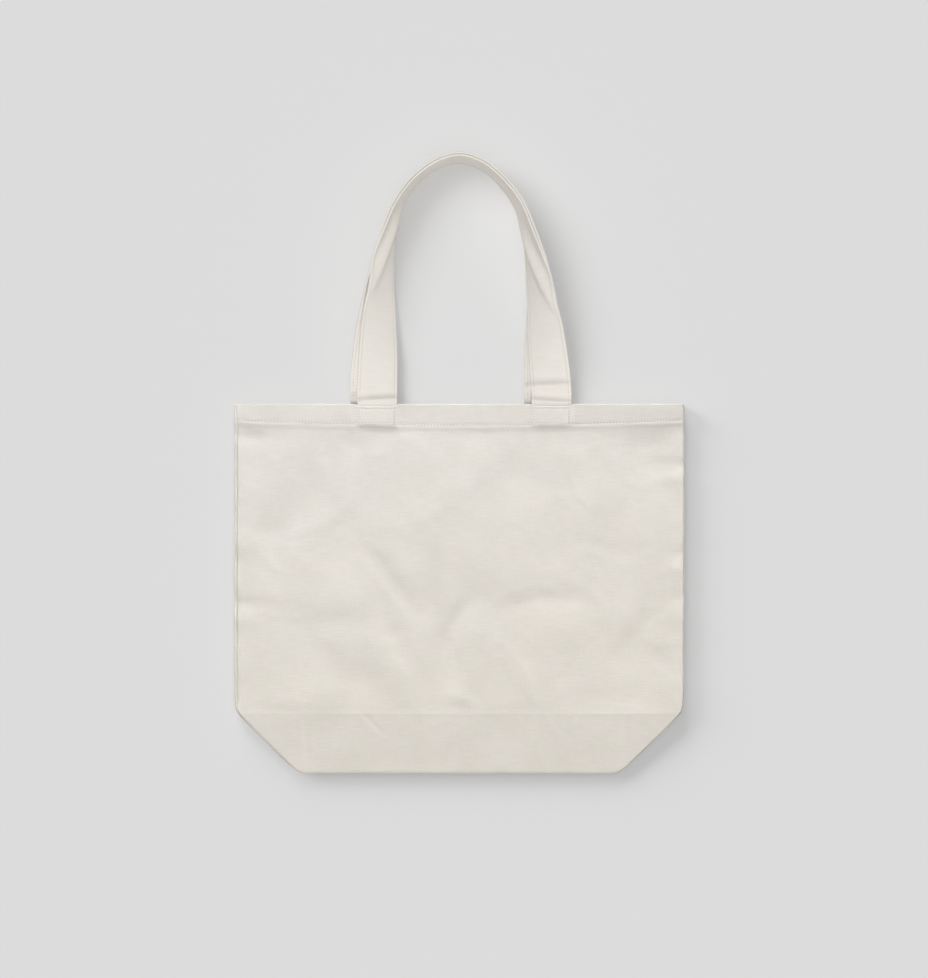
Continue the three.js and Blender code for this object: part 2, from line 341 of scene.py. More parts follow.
def mouth_dip(x, y, legs):
    """The mouth's edge is drawn down a little where the handles' ends come out from behind it."""
    return MOUTH_DIP * at_legs(x, legs, -2.0, 1.6) * smooth(BOX_STITCH_Y - 3, MOUTH, y)


def hem_rise(x):
    """The hem is a little shallower than its pattern, most of all at its ends."""
    return HEM_RISE + HEM_RISE_ENDS * (x / HEM_RISE_PLACE) ** 2


def below_hem(y, fall, back):
    """0 at the hem's lower edge, 1 at fall below it and 0 again at back."""
    distance = HEM_FOLD - y
    return smooth(-1, fall, distance) * (1 - smooth(fall, back, distance))


def hem_sag(x, y):
    """The panel sinks just below the hem, unevenly, and more in the hollows."""
    sag = -HEM_SAG * (0.5 + 0.5 * rough(x, y, 26, 400, 5)) * below_hem(y, 7, 40)
    for place, width, depth, fall, back in HEM_HOLLOWS:
        sag = sag - depth * bell(x - place, width) * below_hem(y, fall, back)
    aside, width, depth, fall, back = HANDLE_HOLLOW
    for leg in FRONT_LEGS:
        sag = sag - depth * bell(x - leg - aside, width) * below_hem(y, fall, back)
    return sag


def stitch_grooves(x, y):
    """The row of stitches along the hem and the boxes at the handles' ends sink in."""
    row_width, side_width = 1.5, 1.6
    groove = -STITCH_GROOVE * bell(y - HEM_STITCH_Y, row_width)
    inside = smooth(HEM_FOLD, HEM_FOLD + 2, y) * (1 - smooth(BOX_STITCH_Y, BOX_STITCH_Y + 1.2, y))
    for leg in FRONT_LEGS:
        aside = np.abs(x - leg)
        between = 1 - smooth(BOX_HALF, BOX_HALF + 1, aside)
        groove = groove - STITCH_GROOVE * bell(aside - BOX_HALF, side_width) * inside
        groove = groove - STITCH_GROOVE * bell(y - BOX_STITCH_Y, row_width) * between
    return groove


def hem_relief(x, y):
    """The hem stands proud of the panel below it, and its stitches sink in."""
    y = y - hem_rise(x) * (1 - smooth(HEM_FOLD + 8, MOUTH - 4, y))
    step = HEM_STEP * smooth(HEM_FOLD - 4.4, HEM_FOLD + 0.8, y)
    lift = HEM_LIFT * smooth(-60, 190, x) * smooth(HEM_FOLD - 2, MOUTH + 4, y)
    wedge = END_LIFT + END_WEDGE * (MOUTH - y) / (MOUTH - HEM_FOLD)
    bulge = wedge * strap_bulge(x, y)
    ripple = HEM_RIPPLE * rough(x, y, 9, 14, 6) * smooth(HEM_FOLD - 2, HEM_FOLD + 4, y)
    return step + lift + hem_sag(x, y) + stitch_grooves(x, y) + bulge + ripple


def crumple(x, y):
    """Waves and faint creases, as canvas keeps them from being folded and carried."""
    waves = sum(height * rough(x, y, *size_and_seed) for height, *size_and_seed in FRONT_WAVES)
    creases = 0
    for height, lean_x, lean_y, cell_x, cell_y, seed, sharpness in FAINT_CREASES:
        line = 1 - np.abs(rough(x + lean_x * y, y + lean_y * x, cell_x, cell_y, seed))
        creases = creases + height * line ** sharpness
    return waves + creases


def front_height(x, y):
    """Height of the front panel's outer face, away from the bag's rounded edges."""
    dome = DOME * (1 - (x / HALF_WIDTH) ** 2) * (1 - ((y - DOME_MIDDLE) / DOME_REACH) ** 2)
    base_slope = -BASE_SLOPE * np.clip(CREASE - y, 0, None)
    ridge = CREASE_RIDGE * bell(y - CREASE, 1.8) * (1 + 0.8 * rough(x, y, 30, 300, 7))
    base_folds = sum(fold(x, y, *each) for each in BASE_FOLDS)
    bumps = sum(height * bell(np.hypot((x - middle_x) / stretch, y - middle_y), radius)
                for middle_x, middle_y, stretch, radius, height in BUMPS)
    drifted_x = x + DRIFT * rough(x, y, 48, 42, 51)
    drifted_y = y + DRIFT * rough(x, y, 42, 48, 52)
    folds = sum(fold(drifted_x, drifted_y, *each) for each in FRONT_FOLDS)
    seams = puckers(x, y, -1) + puckers(x, y, 1)
    above_crease = smooth(CREASE - 2, CREASE + 14, y)
    below_hem_edge = 1 - smooth(HEM_FOLD - 14, HEM_FOLD + 2, y)
    crumpled = 0.45 + 0.55 * smooth(BOTTOM + 10, CREASE + 30, y)
    crumples = CRUMPLE_SHARE * crumple(drifted_x, drifted_y) * crumpled
    moving = (crumples + FOLD_SHARE * folds * above_crease + PUCKER_SHARE * seams) \
        * (HEM_SHARE + (1 - HEM_SHARE) * below_hem_edge) + bumps * above_crease
    return FRONT_LEVEL + dome + base_slope + ridge + base_folds + moving + hem_relief(x, y)


def back_height(x, y):
    """Height of the back panel's outer face, which lies on the floor: its folds lift off it."""
    waves = sum(height * (1 + rough(x, y, *size_and_seed)) for height, *size_and_seed in BACK_WAVES)
    crease = BACK_CREASE * bell(y - CREASE, 1.4)
    step = -BACK_HEM * smooth(HEM_FOLD - 1.6, HEM_FOLD + 0.6, y)
    hem = step + BACK_GROOVE * bell(y - HEM_STITCH_Y, 0.9)
    base = BACK_SLOPE * np.clip(CREASE - y, 0, None)
    seams = np.abs(puckers(-x, y, -1)) + np.abs(puckers(-x, y, 1))
    return BACK_LEVEL + waves + crease + hem + base + BACK_PUCKER_SHARE * seams


def row_places():
    """The y of each row of a panel's grid, from the mouth down, closer together where there is detail, and
    each row's share of the body's height, which is less than 1 only where the bottom edge turns."""
    near = 6
    hem = np.arange(MOUTH - HEM / 2, HEM_FOLD - near, -FINE)
    body_rows = 1 + round((hem[-1] - CREASE - near) / COARSE)
    body = np.linspace(hem[-1] - FINE, CREASE + near, body_rows)
    crease = np.linspace(CREASE + 5, CREASE - near, CREASE_ROWS)
    base = np.linspace(CREASE - 7.5, FOOT + FOOT_ROUND + 1, BASE_ROWS)
    turn = np.radians(np.linspace(88, 3, FOOT_ROWS))
    edge = FOOT + FOOT_ROUND * (1 - np.cos(turn))
    level = np.ones(len(hem) + len(body) + len(crease) + len(base))
    return joined([hem, body, crease, base, edge]), joined([level, np.sin(turn)])


def seam_turn(y, side):
    """How far round the rounded edge the side seam lies, in degrees: 0 is the outermost line, 90 the front.
    The left one has rolled inwards, though less at the hem and not along the corner cut."""
    start = SEAM_TURN[side]
    if side > 0:
        return start + 0 * y
    rolled = math.degrees(math.acos(1 - LEFT_SEAM_IN / EDGE_ROUND[side]))
    kept = smooth(CREASE - 4, CREASE + 14, y) * (1 - 0.6 * smooth(HEM_FOLD - 6, MOUTH, y))
    return start + (rolled - start) * kept + 3 * rough(y, y * 0, 24, 24, 21)


def edge_place(y, side):
    """How far from the middle line the outermost line of a side edge lies."""
    wave = EDGE_WAVE * rough(y, y * 0, 17, 17, 22 if side < 0 else 23)
    return half_width(y) + OUTERMOST[side] + wave


def edge_columns(y, share, side, turns, height):
    """Grid points round a side edge. turns is each column's place round it: 90 is the front, -90 behind."""
    turn = np.radians(turns)
    inwards = EDGE_ROUND[side] * edge_lean(y)[:, None] * (1 - np.cos(turn))
    x = side * (edge_place(y, side)[:, None] - inwards)
    rows = np.broadcast_to(y[:, None], x.shape)
    fullness = np.abs(np.sin(turn)) ** 0.75
    z = MIDDLE + fullness * share[:, None] * (height(x, rows) - MIDDLE)
    return np.stack([x, rows, z], -1)


def plateau_columns(y, share, side, height, legs):
    """Grid points from the middle line to where a side edge begins to turn."""
    reach = edge_place(y, side) - EDGE_ROUND[side] * edge_lean(y)
    x = side * reach[:, None] * np.linspace(0, 1, PLATEAU_COLUMNS, endpoint=False)
    rows = y[:, None] - mouth_dip(x, y[:, None], legs)
    z = MIDDLE + share[:, None] * (height(x, rows) - MIDDLE)
    return np.stack([x, rows, z], -1)


def sewn_in(grid, up):
    """Draws a panel's outer face in along its side seams, the grid's first and last columns: the new grid
    and its outward normals. up is 1 where the outer face looks up, and -1 where it looks down."""
    distance = np.minimum(seam_distance(grid), seam_distance(grid[:, ::-1])[:, ::-1])
    pull = sum(depth * np.exp(-distance / reach) for depth, reach in SEAM_PULL)
    drawn = grid - outward_normals(grid, up) * pull[..., None]
    return drawn, outward_normals(drawn, up)


def cloth_thickness(y):
    return CANVAS + (HEM - CANVAS) * smooth(HEM_FOLD - 0.8, HEM_FOLD + 0.4, y)


def closed_panel(name, outer, outward, material):
    """A closed panel of real thickness, with a rounded fold at the mouth, from the grid of its outer face,
    whose rows run down from the mouth."""
    columns = outer.shape[1]
    thick = cloth_thickness(outer[..., 1])[..., None]
    inner = outer - outward * thick
    fold_turns = np.radians([36, 72, 108, 144])[:, None, None]
    centre = (outer[0] + inner[0]) / 2
    reach = np.linalg.norm(outer[0] - inner[0], axis=1)[:, None] / 2
    upwards = np.array([0, 1, 0])
    rim = centre + (outer[0] - centre) * np.cos(fold_turns) + upwards * reach * np.sin(fold_turns)
    sheet = joined([outer[::-1], rim, inner])
    rim_normals = outward[0] * np.cos(fold_turns) + upwards * np.sin(fold_turns)
    normals = joined([outward[::-1], rim_normals, -outward])
    count = len(sheet)
    faces = grid_faces(count, columns)
    number = np.arange(count * columns).reshape(count, columns)
    for edge, turned in ((0, False), (columns - 1, True)):
        line = number[:, edge]
        strip = np.stack([line[:-1], line[1:], line[::-1][1:], line[::-1][:-1]], -1)[:(count - 1) // 2]
        faces = joined([faces, strip if turned else strip[:, ::-1]])
    foot = np.stack([number[0, :-1], number[0, 1:], number[-1, 1:], number[-1, :-1]], -1)
    faces = joined([faces, foot[:, ::-1]])
    return build_mesh(name, sheet, faces, material, cloth=sheet[..., :2], normals=normals)


def front_grid(y, share, side):
    """The outer face of one half of the front, from the middle line to its side seam."""
    plateau = plateau_columns(y, share, side, front_height, FRONT_LEGS)
    seam = seam_turn(y, side)[:, None]
    turns = 90 + (seam - 90) * np.linspace(0, 1, EDGE_COLUMNS + 1)
    return joined([plateau, edge_columns(y, share, side, turns, front_height)], 1)


def back_grid(y, share):
    """The outer face of the back, from the left side seam round to the right one."""
    gap = 2  # degrees between the front's edge and the back's
    wrap = 1 - np.linspace(0, 1, 9) ** 2
    under = np.broadcast_to(np.linspace(-9, -90, EDGE_COLUMNS), (len(y), EDGE_COLUMNS))
    halves = []
    for side in (-1, 1):
        seam = seam_turn(y, side)[:, None] - gap
        front = edge_columns(y, share, side, np.where(seam > 0, seam, 0) * wrap, front_height)
        back = edge_columns(y, share, side, under, back_height)
        plateau = plateau_columns(y, share, side, back_height, STRAP_LEGS["back"])
        half = joined([front, back, plateau[:, ::-1]], 1)
        halves.append(half if side < 0 else half[:, ::-1][:, 1:])
    return joined(halves, 1)


def seam_distance(points):
    """Each point's distance along its row from the row's last point."""
    steps = np.linalg.norm(np.diff(points, axis=1), axis=2)
    run = joined([np.zeros((len(points), 1)), np.cumsum(steps[:, ::-1], axis=1)], 1)
    return run[:, ::-1]


def make_front(material):
    y, share = row_places()
    left, right = front_grid(y, share, -1), front_grid(y, share, 1)
    grid, outward = sewn_in(joined([left[:, ::-1], right[:, 1:]], 1), 1)
    middle = left.shape[1] - 1
    for name, part, side in (("front_canvas_left", slice(0, middle + 1), -1),
                             ("front_canvas_right", slice(middle, None), 1)):
        obj = closed_panel(name, grid[:, part], outward[:, part], material)
        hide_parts("front_panel")
        blend_to_front(obj)


def make_back(material):
    y, share = row_places()
    obj = closed_panel("back_canvas", *sewn_in(back_grid(y, share), -1), material)
    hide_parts("back_panel")
    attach(obj, "back_of_bag")


def blend_to_front(obj):
    """Bakes a front piece's placement into its mesh. The front is sewn to the back at the sides."""
    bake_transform(obj)


# The handles.

# The middle line of the front handle's strap, seen from above: x, y from the mouth, and the turn in degrees.
ARCH = [
    (FRONT_LEGS[0], 0, 0), (FRONT_LEGS[0], 12, 4), (-81, 64, 28), (-78, 118, 54),
    (-71, 163, 73), (-61, 197, 85), (-44, 222, 89.5), (-22, 238, 90), (0, 244, 90),
    (21, 238, 90), (39.5, 223, 88), (57.5, 199, 84), (69.5, 165, 76), (78.5, 122, 57), (85.5, 76, 33),
    (FRONT_LEGS[1], 12, 4), (FRONT_LEGS[1], 0, 0),
]
STRAP_SHOWN = 559  # length of the arch, from mouth to mouth
STRAP_STEP = 1.5
NEST = 2.35  # from one strap's middle to the middle of the one nested in it
RISE = 14  # this far above the mouth, the back strap has risen to the front one
SPREAD_LENGTH = 150  # and this far from it, their legs have come together
RESTING = 4.0  # height of a flat strap's middle line, away from the mouth


def arch_line(count):
    """Points at equal steps along the arch and the turn at each: a centripetal Catmull-Rom curve."""
    points = np.array([(x, y) for x, y, _ in ARCH], float)
    turns = np.array([turn for _, _, turn in ARCH], float)
    points = joined([[2 * points[0] - points[1]], points, [2 * points[-1] - points[-2]]])
    turns = joined([turns[:1], turns, turns[-1:]])
    steps = 40
    t = np.linspace(0, 1, steps, endpoint=False)[:, None]
    line, turned = [], []
    for i in range(1, len(points) - 2):
        p, v = points[i - 1:i + 3], turns[i - 1:i + 3]
        d = np.sqrt(np.linalg.norm(np.diff(p, axis=0), axis=1))
        out = (p[1] - p[0]) / d[0] - (p[2] - p[0]) / (d[0] + d[1]) + (p[2] - p[1]) / d[1]
        into = (p[2] - p[1]) / d[1] - (p[3] - p[1]) / (d[1] + d[2]) + (p[3] - p[2]) / d[2]
        line.append(hermite(t, p[1], p[2], out * d[1], into * d[1]))
        turned.append(hermite(t[:, 0], v[1], v[2], (v[2] - v[0]) / 2, (v[3] - v[1]) / 2))
    line = joined([*line, points[-2:-1]])
    turned = joined([*turned, turns[-1:]])
    run = joined([[0], np.cumsum(np.linalg.norm(np.diff(line, axis=0), axis=1))])
    at = np.linspace(0, run[-1], count)
    place = np.stack([np.interp(at, run, line[:, 0]), np.interp(at, run, line[:, 1])], 1)
    return place, np.radians(np.minimum(np.interp(at, run, turned), 90)), at


def hermite(t, a, b, out, into):
    """The cubic from a to b that leaves along out and arrives along into."""
    return (2 * t ** 3 - 3 * t ** 2 + 1) * a + (t ** 3 - 2 * t ** 2 + t) * out \
        + (3 * t ** 2 - 2 * t ** 3) * b + (t ** 3 - t ** 2) * into


def strap_route(side):
    """The strap's stations from one sewn end to the other: middle, direction across, direction off its front
    face, and the run along it, which is 0 where the strap leaves the mouth on the left."""
    place, turn, run = arch_line(round(STRAP_SHOWN / STRAP_STEP))
    along = unit(np.gradient(place, axis=0))
    inward = np.stack([along[:, 1], -along[:, 0], 0 * run], 1)
    up = np.array([0, 0, 1.0])
    cos, sin = np.cos(turn)[:, None], np.sin(turn)[:, None]
    across = inward * cos - up * sin
    off = up * cos + inward * sin
    from_foot = np.minimum(run, run[-1] - run)
    spread = (1 - np.minimum(1, from_foot / SPREAD_LENGTH) ** 2) ** 2
    aside = (FRONT_LEGS[0] - STRAP_LEGS["back"][0]) * spread
    middle = joined([place + [0, MOUTH], np.zeros((len(run), 1))], 1)
    at_mouth = (STRAP_Z["front"] - RESTING) * (1 - sin) ** 2
    middle[:, 2:] = STRAP_HALF * sin + RESTING * cos + at_mouth + aside[:, None] * sin
    if side == "back":
        apart = NEST + (STRAP_Z["front"] - STRAP_Z["back"] - NEST) * (1 - smooth(-2, RISE, from_foot))
        leg = np.where(run < run[-1] / 2, -1, 1)
        middle = middle - off * apart[:, None] + across * (aside * leg)[:, None]
    return with_tails(middle, across, off, run)


def with_tails(middle, across, off, run):
    """A strap's stations, with the tails that are sewn behind the hem added at both ends."""
    tail = np.arange(STRAP_TAIL, 0.4, -STRAP_STEP)
    down = tail[:, None] * np.array([0, -1.0, 0])
    both_ends = ((len(tail), len(tail)), (0, 0))
    middle = joined([middle[0] + down, middle, middle[-1] + down[::-1]])
    run = joined([-tail, run, run[-1] + tail[::-1]])
    return middle, np.pad(across, both_ends, "edge"), np.pad(off, both_ends, "edge"), run


# Bends across a strap where it leaves the hem, in the left and the right leg: distance from the mouth along
# the strap, width and height of each.
STRAP_PINCHES = {-1: [(4.2, 2.8, 3.2), (11.0, 4.6, -1.0), (44, 14, 1.1), (78, 10, -0.8)],
                 1: [(2.4, 2.4, 2.8), (9, 4.0, -1.0), (18.5, 3.6, 3.2), (27, 5.4, -1.0), (62, 12, 1.1)]}

# Creases across a strap as it turns up on edge: start and end, as the place across it towards its outer edge
# and the distance from the mouth, then width and height.
STRAP_CREASES = {-1: [((20, 100), (-16, 205), 6, 3.4), ((22, 124), (2, 200), 6, -2.4)],
                 1: [((20, 84), (-18, 186), 5, 3.6), ((22, 108), (-4, 190), 6, -2.6)]}


def strap_relief(run, length, u, side):
    """How far the strap's surface lies off its middle plane at run along it and u across it."""
    slant = 0.05
    from_foot = np.minimum(run, length - run)
    total = 0.10 * rough(run, u, 24, 26, 31 if side == "front" else 32)
    towards_edge = 1 - 0.55 * (np.abs(u) / STRAP_HALF) ** 3
    for leg, pinches in STRAP_PINCHES.items():
        here = (run < length / 2) if leg < 0 else (run >= length / 2)
        for place, width, height in pinches:
            total = total + height * (bell(from_foot - place - slant * u, width) * towards_edge) * here
        for crease in STRAP_CREASES[leg] if side == "front" else ():
            total = total + fold(-u, from_foot, *crease) * here
    return total * smooth(-2, 3, from_foot)


def strap_section(thick):
    """The strap's cross-section, u across and w off its middle plane: a flattened tube with round folded
    edges, pressed in along its rows of stitches."""
    row_width = 0.9
    by_the_edge = [0.12, 0.5]
    by_the_row = EDGE_ROW + np.array([-row_width, 0, row_width])
    beside = joined([by_the_edge, by_the_row, np.linspace(6, STRAP_HALF, 8)])
    top_u = joined([beside - STRAP_HALF, (STRAP_HALF - beside)[-2::-1]])
    dip = 0.16 * bell(np.abs(top_u) - (STRAP_HALF - EDGE_ROW), row_width)
    crown = 0.14 * (1 - (top_u / STRAP_HALF) ** 2)
    shoulder = np.where(np.abs(top_u) > STRAP_HALF - 0.3, 0.12, 0.0)
    top_w = thick / 2 - dip + crown - shoulder - 0.1
    edge = np.array([[STRAP_HALF, thick * 0.32], [STRAP_HALF, -thick * 0.32]])
    top = np.stack([top_u, top_w], 1)
    under = np.stack([top_u[::-1], -top_w[::-1]], 1)
    return joined([top, edge, under, -edge])


def strap_point(route, length, side, index, u, w):
    """Points at stations index, u across and w off the strap's middle plane."""
    middle, across, off, run = route
    lift = strap_relief(run[index], length, u, side) + w
    return middle[index] + across[index] * u[..., None] + off[index] * lift[..., None]


def make_strap(side, material):
    route = strap_route(side)
    run = route[3]
    length = run[-1] - STRAP_TAIL
    u, w = strap_section(STRAP).T
    points = strap_point(route, length, side, np.arange(len(run))[:, None], u, w)
    elsewhere = 300 if side == "back" else 0  # on the cloth, so that the straps' weaves differ
    cloth = np.stack(np.broadcast_arrays(u + elsewhere, run[:, None]), -1)
    faces = tube_faces(len(run), len(u))
    obj = build_mesh(f"{side}_strap", points, faces, material, cloth=cloth)
    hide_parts(f"{side}_handle", f"{side}_left_handle_end", f"{side}_right_handle_end")
    blend_strap(obj)


def blend_strap(obj):
    """Bakes a strap's placement into its mesh; the strap is one piece from sewn end to sewn end."""
    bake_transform(obj)


# Stitches.

PIT_STRETCH = STITCH_LENGTH / STITCH_RADIUS  # keeps a needle hole round


def stitch_template():
    """One stitch along x, of unit length and radius, and the needle hole after it, a small disc coloured
    with
    painted shade by the thread material: points, faces, and which points are the hole's."""
    rings, sides = 4, 6
    along = np.linspace(-0.42, 0.42, rings)
    points, faces = [[-0.5, 0, -0.9]], []
    for x in along:
        turn = np.arange(sides) * 2 * math.pi / sides
        swell = math.sqrt(1 - (2 * x) ** 4 * 0.75)
        dive = -1.1 * abs(2 * x) ** 3
        points += [[x, math.cos(a) * swell, math.sin(a) * swell + dive] for a in turn]
    points.append([0.5, 0, -0.9])
    # Each point's share of painted shade: 1 on the needle hole's disc, 0 on the thread.
    hole_shade = [0.0] * len(points)
    for k in range(sides):
        after = (k + 1) % sides
        faces.append([0, 1 + after, 1 + k])
        for r in range(rings - 1):
            a, b = 1 + r * sides, 1 + (r + 1) * sides
            faces.append([a + k, a + after, b + after, b + k])
        last = 1 + (rings - 1) * sides
        faces.append([last + k, last + after, last + sides])
    # The needle hole is a flat disc at the stitch's end, coloured with painted shade in place of the shadow
    # in the pit.
    pit = len(points)
    place, reach = 0.64, 0.20
    points += [[place, 0, 0.4], [place, 0, -1.2]]
    for k in range(sides):
        turn = 2 * math.pi * k / sides
        points.append([place + reach * math.cos(turn), reach * math.sin(turn) * PIT_STRETCH, 0.2])
        after = (k + 1) % sides
        faces.append([pit, pit + 2 + k, pit + 2 + after])
        faces.append([pit + 1, pit + 2 + after, pit + 2 + k])
    hole_shade += [1.0] * (len(points) - pit)
    return np.array(points, float), faces, hole_shade


def make_stitches(name, middles, alongs, normals, material, length=STITCH_LENGTH, holes=None):
    """Stitches of thread centred at middles, lying along alongs on a surface with those normals. Where the
    surface is curved, holes are the places on it of the needle holes."""
    template, template_faces, hole_shade = stitch_template()
    alongs = unit(alongs)
    asides = unit(np.cross(normals, alongs))
    alongs = unit(alongs + asides * STITCH_SLANT)
    asides = np.cross(normals, alongs)
    points = (middles[:, None] + alongs[:, None] * template[None, :, :1] * length
              + asides[:, None] * template[None, :, 1:2] * STITCH_RADIUS
              + normals[:, None] * template[None, :, 2:] * STITCH_RADIUS)
    if holes is not None:
        rise = ((holes - middles) * normals).sum(1)
        points += normals[:, None] * rise[:, None, None] * np.array(hole_shade)[:, None]
    faces = []
    for k in range(len(middles)):
        faces += [[v + k * len(template) for v in face] for face in template_faces]
    obj = build_mesh(name, points, faces, material)
    # The needle holes' discs are marked so that the thread material colours them with painted shade.
    hole = obj.data.attributes.new("hole", "FLOAT", "POINT")
    hole.data.foreach_set("value", hole_shade * len(middles))
    return obj


def stitches_on(height, starts, ends, outward):
    """Middles, directions and normals of rows of stitches on a panel, from starts to ends."""
    middles, alongs = [], []
    for start, end in zip(np.array(starts, float), np.array(ends, float)):
        run = end - start
        count = max(1, round(np.linalg.norm(run) / STITCH_PITCH))
        for k in range(count):
            middles.append(start + run * (k + 0.5) / count)
            alongs.append(run)
    middles, alongs = np.array(middles), np.array(alongs)
    x, y = middles[:, 0], middles[:, 1]
    step = 0.4
    slope_x = (height(x + step, y) - height(x - step, y)) / (2 * step)
    slope_y = (height(x, y + step) - height(x, y - step)) / (2 * step)
    normals = unit(np.stack([-slope_x, -slope_y, np.ones(len(x))], 1) * outward)
    alongs = np.stack([alongs[:, 0], alongs[:, 1], alongs[:, 0] * slope_x + alongs[:, 1] * slope_y], 1)
    return np.stack([x, y, height(x, y)], 1) + normals * STITCH_LIFT, alongs, normals


def make_panel_stitches(side, material):
    """The row along a hem and the boxes that hold the handles' ends."""
    height, outward = (front_height, 1) if side == "front" else (back_height, -1)
    body = f"{side}_of_bag"
    reach = HALF_WIDTH - EDGE_ROUND[-1] - 0.5
    for place, sign in (("left", -1), ("right", 1)):
        path = [(x, HEM_STITCH_Y + hem_rise(x)) for x in np.linspace(0, sign * reach, 8)]
        row = stitches_on(height, path[:-1], path[1:], outward)
        obj = make_stitches(f"{side}_hem_thread_{place}", *row, material)
        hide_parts(f"{side}_hem_stitching")
        if side == "front":
            blend_to_front(obj)
        else:
            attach(obj, body)
    for place, leg in zip(("left", "right"), STRAP_LEGS[side]):
        left, right = leg - BOX_HALF, leg + BOX_HALF
        low, high = HEM_STITCH_Y + hem_rise(leg) + STITCH_PITCH / 2, BOX_STITCH_Y
        path = [(left, low), (left, high), (right, high), (right, low)]
        box = stitches_on(height, path[:-1], path[1:], outward)
        obj = make_stitches(f"{side}_{place}_box_thread", *box, material)
        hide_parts(f"{side}_{place}_box_stitching")
        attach(obj, body)


def make_strap_stitches(side, material):
    """Rows of stitches near both edges of a strap, on both its faces."""
    route = strap_route(side)
    middle, across, off, run = route
    length = run[-1] - STRAP_TAIL
    at = np.arange(STITCH_PITCH / 2, length - 1, STITCH_PITCH)
    index = np.round(np.interp(at, run, np.arange(len(run)))).astype(int)
    for name, row in (("outer", EDGE_ROW - STRAP_HALF), ("inner", STRAP_HALF - EDGE_ROW)):
        middles, alongs, normals, holes = [], [], [], []
        for face in (1, -1):
            u = np.full(len(index), row)
            w = np.full(len(index), face * (STRAP / 2 - STITCH_RADIUS))
            middles.append(strap_point(route, length, side, index, u, w))
            holes.append(strap_point(route, length, side, index + 1, u, w))
            alongs.append(np.gradient(middles[-1], axis=0))
            travel = unit(alongs[-1])
            lean = (off[index] * travel).sum(1)[:, None]
            normals.append((off[index] - travel * lean) * face / np.sqrt(1 - lean ** 2))
        rows = map(joined, (middles, alongs, normals))
        obj = make_stitches(f"{side}_strap_{name}_thread", *rows, material, holes=joined(holes))
        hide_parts(f"{side}_handle_{name}_stitching")
        blend_strap(obj)


# Seams inside the bag.

SEAM_WIDTH = 8.0
SEAM_STEP = 3
LOOP_PITCH = 2.2  # of the overlock's thread
LOOP_LENGTH = 3.6

# The band's cross-section: across it in shares of its width, and up in millimetres.
SEAM_RING = np.array([(-0.5, 0.35), (0, 0.5), (0.45, 0.42), (0.5, 0),
                      (0.45, -0.42), (0, -0.5), (-0.5, -0.35)])


def seam_axes(node, direction):
    """A seam's middle and length, and the directions along it, across it into the bag and up."""
    low, high = corners(node)
    centre = (low + high) / 2
    run = np.array([*direction, 0]) / math.hypot(*direction)
    spans = {(0, 1): high[1] - low[1], (1, 0): high[0] - low[0]}
    length = spans.get(direction, math.hypot(high[0] - low[0], high[1] - low[1]) - SEAM_WIDTH)
    aside = np.array([-run[1], run[0], 0])
    bag_middle = np.array([0, -100, 0])
    if np.dot(aside, bag_middle - centre) < 0:
        aside = -aside
    return centre, length, run, aside, np.cross(run, aside)


def make_seam(node, direction, material, thread):
    """The overlocked edges of two panels: a wavy band, bound along its edge with loops of thread."""
    axes = seam_axes(node, direction)
    centre, length, run, aside, up = axes
    steps = max(8, round(length / SEAM_STEP))
    t = np.linspace(-0.5, 0.5, steps)[:, None]
    sway = 0.35 * rough(t[:, 0] * length, centre[0] + 0 * t[:, 0], 14, 14, 41)[:, None]
    across = SEAM_RING[:, 0] * SEAM_WIDTH
    points = (centre + run * (t * length)[..., None] + aside * (across + sway)[..., None]
              + up * (SEAM_RING[:, 1] + 0.3 * sway)[..., None])
    flat = np.stack(np.broadcast_arrays(across, t * length), -1)
    faces = tube_faces(steps, len(SEAM_RING))
    band = build_mesh(f"{node}_band", points, faces, material, cloth=flat)
    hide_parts(node)
    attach(band, "back_of_bag")
    make_overlock(node, axes, thread)


def make_overlock(node, axes, material):
    """Slanting loops of thread on both faces of a seam's band."""
    centre, length, run, aside, up = axes
    count = round(length / LOOP_PITCH)
    at = (np.arange(count) + 0.5) / count - 0.5
    middles, alongs, normals = [], [], []
    for face in (1, -1):
        row = centre + run * (at * length)[:, None]
        middles.append(row + aside * SEAM_WIDTH * 0.28 + up * 0.55 * face)
        alongs.append(np.tile(aside + run * 0.35 * face, (count, 1)))
        normals.append(np.tile(up * face, (count, 1)))
    rows = map(joined, (middles, alongs, normals))
    loops = make_stitches(f"{node}_overlock", *rows, material, length=LOOP_LENGTH)
    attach(loops, "back_of_bag")


# Materials.

